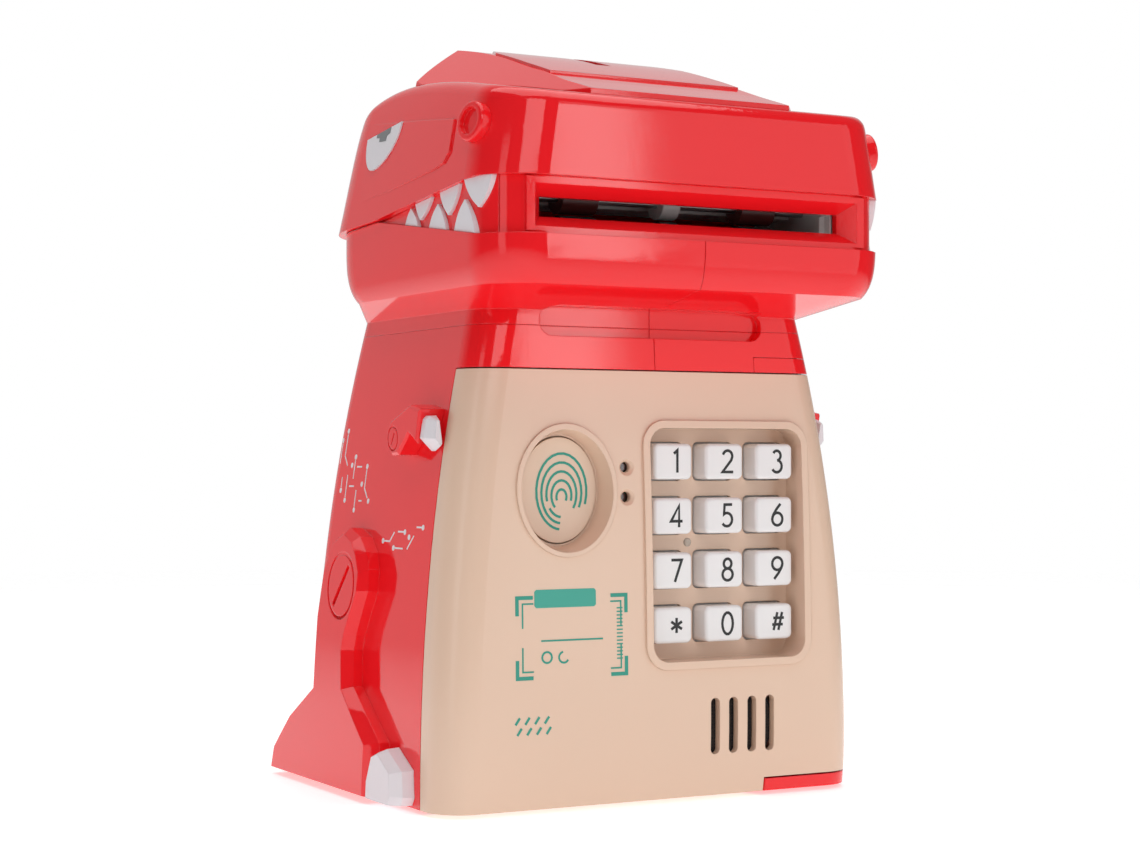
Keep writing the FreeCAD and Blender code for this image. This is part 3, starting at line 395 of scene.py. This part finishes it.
def buildRibRing():
    tree, start, end = growTree("ribRing", (
        ("Count", "NodeSocketInt"), ("Centre", "NodeSocketVector"), ("Reach", "NodeSocketFloat"),
        ("Rib Size", "NodeSocketVector"), ("Material", "NodeSocketMaterial")))
    line = tree.nodes.new("GeometryNodeMeshLine")
    line.inputs["Offset"].default_value = (0, 0, 0)
    rib = tree.nodes.new("GeometryNodeMeshCube")
    outward = tree.nodes.new("ShaderNodeCombineXYZ")
    lifted = tree.nodes.new("GeometryNodeTransform")
    copies = tree.nodes.new("GeometryNodeInstanceOnPoints")
    index = tree.nodes.new("GeometryNodeInputIndex")
    share = nodeIn(tree, "ShaderNodeMath", operation="DIVIDE")
    angle = nodeIn(tree, "ShaderNodeMath", operation="MULTIPLY")
    angle.inputs[1].default_value = 2 * math.pi
    turn = tree.nodes.new("ShaderNodeCombineXYZ")
    moved = tree.nodes.new("GeometryNodeTransform")
    join(tree, start, "Count", line, "Count")
    join(tree, start, "Rib Size", rib, "Size")
    join(tree, start, "Reach", outward, "Z")
    join(tree, outward, "Vector", lifted, "Translation")
    join(tree, rib, "Mesh", lifted, "Geometry")
    join(tree, index, "Index", share, 0)
    join(tree, start, "Count", share, 1)
    join(tree, share, "Value", angle, 0)
    join(tree, angle, "Value", turn, "X")
    join(tree, line, "Mesh", copies, "Points")
    join(tree, lifted, "Geometry", copies, "Instance")
    join(tree, turn, "Vector", copies, "Rotation")
    join(tree, copies, "Instances", moved, "Geometry")
    join(tree, start, "Centre", moved, "Translation")
    closeTree(tree, start, end, moved, "Geometry")
    return tree


def buildWeaveDisc():
    # threads both ways, each as long as the disc is there
    tree, start, end = growTree("weaveDisc", (
        ("Count", "NodeSocketInt"), ("Radius", "NodeSocketFloat"), ("Thread", "NodeSocketFloat"),
        ("Centre", "NodeSocketVector"), ("Material", "NodeSocketMaterial")))
    family = tree.nodes.new("GeometryNodeJoinGeometry")
    for turned in (False, True):
        spread = nodeIn(tree, "ShaderNodeMath", operation="DIVIDE")
        doubled = nodeIn(tree, "ShaderNodeMath", operation="MULTIPLY")
        doubled.inputs[1].default_value = 1.94
        stepVector = tree.nodes.new("ShaderNodeCombineXYZ")
        firstVector = tree.nodes.new("ShaderNodeCombineXYZ")
        negative = nodeIn(tree, "ShaderNodeMath", operation="MULTIPLY")
        negative.inputs[1].default_value = -0.96
        line = tree.nodes.new("GeometryNodeMeshLine")
        size = tree.nodes.new("ShaderNodeCombineXYZ")
        thread = tree.nodes.new("GeometryNodeMeshCube")
        copies = tree.nodes.new("GeometryNodeInstanceOnPoints")
        place = tree.nodes.new("GeometryNodeInputPosition")
        length = nodeIn(tree, "ShaderNodeVectorMath", operation="LENGTH")
        ratio = nodeIn(tree, "ShaderNodeMath", operation="DIVIDE")
        square = nodeIn(tree, "ShaderNodeMath", operation="POWER")
        square.inputs[1].default_value = 2.0
        rest = nodeIn(tree, "ShaderNodeMath", operation="SUBTRACT")
        rest.inputs[0].default_value = 1.0
        root = nodeIn(tree, "ShaderNodeMath", operation="SQRT")
        scale = tree.nodes.new("ShaderNodeCombineXYZ")
        scale.inputs[1].default_value = 1.0
        run = "X" if turned else "Z"
        along = "Z" if turned else "X"
        scale.inputs[run].default_value = 1.0
        join(tree, start, "Radius", doubled, 0)
        join(tree, doubled, "Value", spread, 0)
        join(tree, start, "Count", spread, 1)
        join(tree, spread, "Value", stepVector, run)
        join(tree, start, "Radius", negative, 0)
        join(tree, negative, "Value", firstVector, run)
        join(tree, start, "Count", line, "Count")
        join(tree, firstVector, "Vector", line, "Start Location")
        join(tree, stepVector, "Vector", line, "Offset")
        join(tree, doubled, "Value", size, along)
        join(tree, start, "Thread", size, "Y")
        join(tree, start, "Thread", size, run)
        join(tree, size, "Vector", thread, "Size")
        join(tree, place, "Position", length, 0)
        join(tree, length, "Value", ratio, 0)
        join(tree, start, "Radius", ratio, 1)
        join(tree, ratio, "Value", square, 0)
        join(tree, square, "Value", rest, 1)
        join(tree, rest, "Value", root, 0)
        join(tree, root, "Value", scale, along)
        join(tree, line, "Mesh", copies, "Points")
        join(tree, thread, "Mesh", copies, "Instance")
        join(tree, scale, "Vector", copies, "Scale")
        join(tree, copies, "Instances", family, "Geometry")
    moved = tree.nodes.new("GeometryNodeTransform")
    join(tree, family, "Geometry", moved, "Geometry")
    join(tree, start, "Centre", moved, "Translation")
    closeTree(tree, start, end, moved, "Geometry")
    return tree


def grow(name, tree, values):
    # runs a tree once and keeps its result as a plain mesh
    seed = bpy.data.objects.new(name + "Seed", bpy.data.meshes.new(name + "Seed"))
    bpy.context.scene.collection.objects.link(seed)
    modifier = seed.modifiers.new("grow", "NODES")
    modifier.node_group = tree
    for item in tree.interface.items_tree:
        if item.item_type == "SOCKET" and item.in_out == "INPUT":
            modifier[item.identifier] = values[item.name]
    depsgraph = bpy.context.evaluated_depsgraph_get()
    mesh = bpy.data.meshes.new_from_object(seed.evaluated_get(depsgraph))
    mesh.name = name
    seed.modifiers.remove(modifier)
    bpy.data.objects.remove(seed)
    piece = bpy.data.objects.new(name, mesh)
    bpy.context.scene.collection.objects.link(piece)
    return piece


barRow = buildBarRow()
ribRing = buildRibRing()
weaveDisc = buildWeaveDisc()
doorFront = Side((1, 0, 0), (0, 1, 0), "door_shell")
leftSide = Side((0, -1, 0), (1, 0, 0), "body_left_shell")
rightSide = Side((0, 1, 0), (-1, 0, 0), "body_right_shell")
eyeSide = Side((0, -1, 0), (1, 0, 0), "eyes")
farEyeSide = Side((0, 1, 0), (-1, 0, 0), "eyes")
print("bank: tools ready")


# key figures
figures = {"height": 5.7, "stroke": 0.72, "shift": 0.9}
strokes = {
    "1": [[(-0.14, 0.85), (0.04, 1.0), (0.04, 0.0)]],
    "2": [arc(0.0, 0.74, 0.25, 0.25, 165, -195) + [(0.20, 0.56), (-0.27, 0.02), (0.30, 0.02)]],
    "3": [arc(-0.03, 0.765, 0.21, 0.225, 150, -235), arc(-0.03, 0.28, 0.27, 0.28, 82, -232)],
    "4": [[(0.13, 0.0), (0.13, 0.97), (-0.29, 0.27), (0.31, 0.27)]],
    "5": [[(0.24, 0.99), (-0.16, 0.99), (-0.19, 0.56)] + arc(-0.04, 0.31, 0.28, 0.30, 118, -262)],
    "6": [[(0.17, 1.0), (-0.06, 0.74), (-0.22, 0.5), (-0.28, 0.3)], arc(0.0, 0.3, 0.28, 0.29, 0, 360)],
    "7": [[(-0.27, 0.98), (0.27, 0.98), (-0.09, 0.0)]],
    "8": [arc(0.0, 0.76, 0.205, 0.22, 0, 360), arc(0.0, 0.27, 0.27, 0.27, 0, 360)],
    "9": [[(-0.17, 0.0), (0.06, 0.26), (0.22, 0.5), (0.28, 0.7)], arc(0.0, 0.7, 0.28, 0.29, 0, 360)],
    "star": [[(0.0, 0.16), (0.0, 0.84)], [(-0.28, 0.33), (0.28, 0.67)], [(-0.28, 0.67), (0.28, 0.33)]],
    "0": [arc(0.0, 0.5, 0.28, 0.49, 0, 360)],
    "hash": [[(-0.2, 0.1), (0.0, 0.92)], [(0.06, 0.1), (0.26, 0.92)], [(-0.28, 0.36), (0.3, 0.36)],
             [(-0.22, 0.66), (0.36, 0.66)]],
}
for key, lines in strokes.items():
    low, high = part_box("key_" + key)
    middleX = (low.x + high.x) / 2 / mm + figures["shift"]
    baseZ = (low.z + high.z) / 2 / mm - figures["height"] / 2
    face = Side((1, 0, 0), (0, 1, 0), "key_" + key)
    shapes = []
    for line in lines:
        spots = [(middleX + x * figures["height"], baseZ + z * figures["height"]) for x, z in line]
        closed = math.dist(spots[0], spots[-1]) < 0.01
        shapes.append(ribbon(spots[:-1] if closed else spots, figures["stroke"], closed))
    layDown("keyFigure_" + key, face, shapes, "keyInk", "key_" + key, lift=0.05)
print("bank: key figures")


# prints on the door
doorPrint = {
    "left": -41.0, "right": -10.3, "low": 33.5, "high": 53.2,
    "arm": 4.4, "innerLevel": 3.0, "innerUpright": 6.0,
    "thick": 0.95, "thin": 0.4, "gap": 1.5, "line": 0.42, "ringRadius": 1.35, "ringStroke": 0.5}
corners = []
for x, inX in ((doorPrint["left"], 1), (doorPrint["right"], -1)):
    for z, inZ in ((doorPrint["low"], 1), (doorPrint["high"], -1)):
        for offset, level, upright, width in (
                (0, doorPrint["arm"], doorPrint["arm"], doorPrint["thick"]),
                (doorPrint["gap"], doorPrint["innerLevel"], doorPrint["innerUpright"], doorPrint["thin"])):
            cornerX = x + inX * offset
            cornerZ = z + inZ * offset
            corners.append(ribbon(dense([(cornerX + inX * level, cornerZ), (cornerX, cornerZ),
                                         (cornerX, cornerZ + inZ * upright)], 1.5), width))
longLine = [(-34.4, 42.5), (-17.0, 42.5)]
ringPlace = (-32.8, 38.4)
hookPlace = (-28.1, 38.3)
ringRadius = doorPrint["ringRadius"]
marks = [ribbon(dense(longLine), doorPrint["line"]),
         ribbon(arc(*ringPlace, ringRadius, ringRadius, 0, 360)[:-1], doorPrint["ringStroke"], True),
         ribbon(arc(*hookPlace, ringRadius, ringRadius, 100, 230), doorPrint["ringStroke"])]
dashes = {"left": -41.6, "low": 19.6, "pitch": 2.7, "row": 2.6, "count": 4, "shift": 0.5, "lean": 1.2,
          "tall": 1.7, "width": 0.62}
for row in range(2):
    for column in range(dashes["count"]):
        x = dashes["left"] + column * dashes["pitch"] + (0.0 if row else dashes["shift"])
        z = dashes["low"] + row * dashes["row"]
        marks.append(ribbon([(x, z), (x + dashes["lean"], z + dashes["tall"])], dashes["width"]))
layDown("doorMarks", doorFront, corners + marks, "tealInk", "door")
tag = {"left": -36.2, "right": -18.9, "low": 50.6, "high": 55.1, "notch": 0.5}
notch = tag["notch"]
inLeft, inRight = tag["left"] + notch, tag["right"] - notch
inLow, inHigh = tag["low"] + notch, tag["high"] - notch
tagOutline = [(inLeft, tag["low"]), (inRight, tag["low"]), (tag["right"], inLow), (tag["right"], inHigh),
              (inRight, tag["high"]), (inLeft, tag["high"]), (tag["left"], inHigh), (tag["left"], inLow)]
layDown("doorTag", doorFront, [filled(tagOutline)], "tagInk", "door", lift=0.06)

ruler = {"count": 15, "left": -13.0, "width": 1.7, "low": 37.4, "pitch": 0.9, "bar": 0.34}
ticks = grow("doorTicks", barRow, {
    "Count": ruler["count"], "Start": ((ruler["left"] + ruler["width"] / 2) * mm, 0, ruler["low"] * mm),
    "Step": (0, 0, ruler["pitch"] * mm), "Bar Size": (ruler["width"] * mm, 0.12 * mm, ruler["bar"] * mm),
    "Material": materials["tealInk"]})
for vertex in ticks.data.vertices:
    vertex.co = doorFront.land(vertex.co)
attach(ticks, "door")
print("bank: door prints")

# loops of a finger mark on the oval plate
fingerMark = {"x": -25.6, "z": 77.4, "rings": 5, "wide": 1.42, "tall": 1.9, "rise": 0.35, "stroke": 0.62}
plate = Side((1, 0, 0), (0, 1, 0), "fingerprint_button")
loops = []
for ring in range(1, fingerMark["rings"] + 1):
    wide = fingerMark["wide"] * ring
    tall = fingerMark["tall"] * ring
    z = fingerMark["z"] + fingerMark["rise"] * ring
    bows = [arc(fingerMark["x"], z, wide, tall, -38 + 9 * (ring % 3), 250 - 14 * (ring % 2))]
    if ring > 2:
        bows.append(arc(fingerMark["x"], z, wide, tall, 236 - 6 * ring, 34 + 5 * ring, 8))
    for bow in bows:
        loops.append(ribbon(bow, fingerMark["stroke"]))
layDown("fingerMark", plate, loops, "tealInk", "fingerprint_button")

# small clear pip on the keypad's floor
pip = {"x": 12.7, "z": 65.7, "floor": -36.45, "radius": 1.15, "height": 0.7, "sides": 28, "rings": 6}
sides = pip["sides"]
pipPoints = []
pipFaces = []
for ring in range(pip["rings"]):
    angle = math.radians(90 * ring / pip["rings"])
    reach = pip["radius"] * math.cos(angle)
    y = pip["floor"] - pip["height"] * math.sin(angle)
    for side in range(sides):
        turn = 2 * math.pi * side / sides
        pipPoints.append(Vector((pip["x"] + reach * math.cos(turn), y,
                                 pip["z"] + reach * math.sin(turn))) * mm)
pipPoints.append(Vector((pip["x"], pip["floor"] - pip["height"], pip["z"])) * mm)
top = len(pipPoints) - 1
for side in range(sides):
    other = (side + 1) % sides
    for ring in range(pip["rings"] - 1):
        base = ring * sides
        pipFaces.append((base + side, base + other, base + sides + other, base + sides + side))
    last = (pip["rings"] - 1) * sides
    pipFaces.append((last + side, last + other, top))
pipFaces.append(tuple(reversed(range(sides))))
pipMesh = bpy.data.meshes.new("keypadPip")
pipMesh.from_pydata(pipPoints, [], pipFaces)
pipMesh.materials.append(materials["clearPip"])
pipMesh.shade_smooth()
keypadPip = bpy.data.objects.new("keypadPip", pipMesh)
bpy.context.scene.collection.objects.link(keypadPip)
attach(keypadPip, "door")
print("bank: oval and pip")


# line patterns on the body's sides, as (distance to the rear, height)
sideMarks = {
    "width": 0.42, "pad": 0.72,
    "tracks": [
        [(30.0, 94.0), (30.0, 88.0), (27.5, 85.5)], [(33.0, 91.5), (33.0, 86.0)],
        [(26.5, 83.0), (26.5, 77.0)], [(22.5, 87.0), (22.5, 82.0)], [(19.5, 79.0), (19.5, 74.5)],
        [(24.6, 80.0), (21.4, 80.0)], [(14.0, 84.5), (14.0, 79.5), (11.5, 77.0)],
        [(20.8, 85.2), (17.6, 85.2)], [(17.0, 76.2), (15.0, 76.2)], [(30.0, 82.4), (30.0, 79.6)],
        [(-2.6, 66.2), (-6.0, 66.2), (-8.4, 68.6)], [(-10.6, 68.8), (-14.0, 68.8)],
        [(-9.5, 64.6), (-14.4, 64.6)], [(-17.0, 64.6), (-20.5, 68.0)], [(-21.6, 70.2), (-24.6, 70.2)]],
    "pads": [(30.0, 94.8), (33.0, 92.3), (30.0, 78.8), (26.5, 76.2), (22.5, 87.8), (19.5, 73.7),
             (16.2, 80.6), (14.0, 85.3), (10.6, 76.2), (24.4, 85.6), (-1.8, 66.2), (-8.7, 64.6),
             (-25.4, 70.2), (-14.8, 68.8), (-17.6, 67.6)]}
for name, side, sign in (("leftMarks", leftSide, -1), ("rightMarks", rightSide, 1)):
    shapes = []
    for track in sideMarks["tracks"]:
        shapes.append(ribbon(dense([(sign * y, z) for y, z in track], 2.0), sideMarks["width"]))
    for y, z in sideMarks["pads"]:
        shapes.append(filled(arc(sign * y, z, sideMarks["pad"], sideMarks["pad"], 0, 360, 14)[:-1]))
    layDown(name, side, shapes, "whiteInk", "bank")

# pupils, stepped at the lower edge, under the brow
pupil = [(5.4, 171.8), (5.4, 170.9), (3.3, 170.6), (3.3, 169.6), (-0.9, 169.4), (-1.2, 170.7),
         (-3.0, 171.2),
         (-3.0, 172.7)]
for name, side, sign in (("leftPupil", eyeSide, -1), ("rightPupil", farEyeSide, 1)):
    outline = [(sign * y, z) for y, z in pupil]
    if sign > 0:
        outline.reverse()
    layDown(name, side, [filled(outline)], "pupilGrey", "bank", lift=0.1)
print("bank: sides and eyes")


# parts that repeat
rollerRibs = {"places": (-26, 26), "count": 30, "proud": 0.06, "size": (9.2, 0.35, 0.3)}
low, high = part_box("feed_rollers")
rollerCentre = (low + high) / 2
rollerRadius = (high.z - low.z) / 2
for index, x in enumerate(rollerRibs["places"]):
    ring = grow("rollerRibs_" + str(index + 1), ribRing, {
        "Count": rollerRibs["count"], "Centre": (x * mm, rollerCentre.y, rollerCentre.z),
        "Reach": rollerRadius + (rollerRibs["proud"] - rollerRibs["size"][2] / 2) * mm,
        "Rib Size": tuple(v * mm for v in rollerRibs["size"]), "Material": materials["foot_rubber"]})
    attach(ring, "feed_roller")

coverRibs = {"count": 6, "start": 33.5, "pitch": 2.1, "size": (26.0, 1.2, 0.9), "proud": 0.45}
coverBack = Side((-1, 0, 0), (0, -1, 0), "battery_cover")
ribs = grow("coverRibs", barRow, {
    "Count": coverRibs["count"], "Start": (0, 0, coverRibs["start"] * mm),
    "Step": (0, 0, coverRibs["pitch"] * mm),
    "Bar Size": tuple(v * mm for v in coverRibs["size"]), "Material": materials["red_shell"]})
for vertex in ribs.data.vertices:
    vertex.co = coverBack.land(vertex.co)
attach(ribs, "bank")

grille = {"threads": 23, "radius": 10.4, "thread": 0.22, "y": -42.45}
low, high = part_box("speaker")
cloth = grow("speakerCloth", weaveDisc, {
    "Count": grille["threads"], "Radius": grille["radius"] * mm, "Thread": grille["thread"] * mm,
    "Centre": ((low.x + high.x) / 2, grille["y"] * mm, (low.z + high.z) / 2),
    "Material": materials["grilleCloth"]})
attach(cloth, "door")
print("bank: ribs and grille cloth")


# stage, light and camera
stage = {"radius": 2.4, "sides": 60, "floorZ": -0.0001, "fadeStart": 0.3, "floorWhite": 0.9, "glow": 0.5,
         "backdrop": 0.62, "room": 0.10}
floorMesh = bpy.data.meshes.new("floor")
edge = []
for step in range(stage["sides"]):
    turn = 2 * math.pi * step / stage["sides"]
    edge.append((math.cos(turn) * stage["radius"], math.sin(turn) * stage["radius"], stage["floorZ"]))
floorMesh.from_pydata(edge, [], [tuple(range(len(edge)))])
floor = bpy.data.objects.new("floor", floorMesh)
bpy.context.scene.collection.objects.link(floor)
paper = bpy.data.materials.new("floorPaper")
paper.use_nodes = True
paperTree = paper.node_tree
paperShader = paperTree.nodes["Principled BSDF"]
paperShader.inputs["Base Color"].default_value = (stage["floorWhite"],) * 3 + (1,)
paperShader.inputs["Roughness"].default_value = 0.7
paperShader.inputs["Emission Color"].default_value = (1, 1, 1, 1)
paperShader.inputs["Emission Strength"].default_value = stage["glow"]
paperPlace = paperTree.nodes.new("ShaderNodeTexCoord")
paperReach = nodeIn(paperTree, "ShaderNodeVectorMath", operation="LENGTH")
paperFade = nodeIn(paperTree, "ShaderNodeMapRange")
paperFade.inputs["From Min"].default_value = stage["fadeStart"]
paperFade.inputs["From Max"].default_value = stage["radius"] * 0.5
paperFade.inputs["To Min"].default_value = 1.0
paperFade.inputs["To Max"].default_value = 0.0
join(paperTree, paperPlace, "Object", paperReach, 0)
join(paperTree, paperReach, "Value", paperFade, "Value")
join(paperTree, paperFade, "Result", paperShader, "Alpha")
floorMesh.materials.append(paper)

world = bpy.data.worlds.new("studio")
bpy.context.scene.world = world
world.use_nodes = True
worldTree = world.node_tree
background = worldTree.nodes["Background"]
heading = worldTree.nodes.new("ShaderNodeTexCoord")
headingParts = worldTree.nodes.new("ShaderNodeSeparateXYZ")
behind = nodeIn(worldTree, "ShaderNodeMapRange")
behind.inputs["From Min"].default_value = 0.35
behind.inputs["From Max"].default_value = 0.75
behind.inputs["To Min"].default_value = stage["room"]
behind.inputs["To Max"].default_value = stage["backdrop"]
seen = worldTree.nodes.new("ShaderNodeLightPath")
strength = worldTree.nodes.new("ShaderNodeMix")
join(worldTree, heading, "Generated", headingParts, "Vector")
join(worldTree, headingParts, "Y", behind, "Value")
worldTree.links.new(seen.outputs["Is Camera Ray"], strength.inputs[0])
worldTree.links.new(behind.outputs["Result"], strength.inputs[2])
strength.inputs[3].default_value = 1.0
worldTree.links.new(strength.outputs[0], background.inputs["Strength"])
background.inputs["Color"].default_value = (1, 1, 1, 1)

# each light: azimuth from the front towards +X, height, distance, width, height of the panel, brightness
softboxes = {
    "rightBand": (27.5, 0.30, 1.94, 0.115, 1.1, 4.2),
    "rightFill": (42.0, 0.45, 1.9, 0.85, 1.5, 1.0),
    "leftBox": (-61.5, 0.25, 1.6, 0.38, 1.1, 1.25),
    "frontFill": (-14.0, 1.1, 1.9, 1.2, 0.8, 2.6),
    "topBox": (0.0, 1.5, 0.05, 1.7, 1.7, 1.9),
}
for name, (azimuth, height, distance, wide, tall, bright) in softboxes.items():
    lamp = bpy.data.lights.new(name, "AREA")
    lamp.shape = "RECTANGLE"
    lamp.size = wide
    lamp.size_y = tall
    lamp.energy = bright * math.pi * wide * tall
    box = bpy.data.objects.new(name, lamp)
    bpy.context.scene.collection.objects.link(box)
    angle = math.radians(azimuth)
    box.location = (distance * math.sin(angle), -distance * math.cos(angle), height)
    aim = Vector((0, 0, 0.1)) - box.location
    box.rotation_euler = aim.to_track_quat("-Z", "Y").to_euler()

view = {"place": (-0.2896, -0.5296, 0.087), "turn": -28.502, "lens": 70.42, "rise": 0.0285}
cameraData = bpy.data.cameras.new("viewer")
cameraData.lens = view["lens"]
cameraData.sensor_width = 36.0
cameraData.shift_y = view["rise"]
cameraData.clip_start = 0.01
viewer = bpy.data.objects.new("viewer", cameraData)
bpy.context.scene.collection.objects.link(viewer)
viewer.location = view["place"]
viewer.rotation_euler = (math.radians(90), 0, math.radians(view["turn"]))
bpy.context.scene.camera = viewer
bpy.context.scene.view_settings.view_transform = "Standard"

print("bank: scene ready")
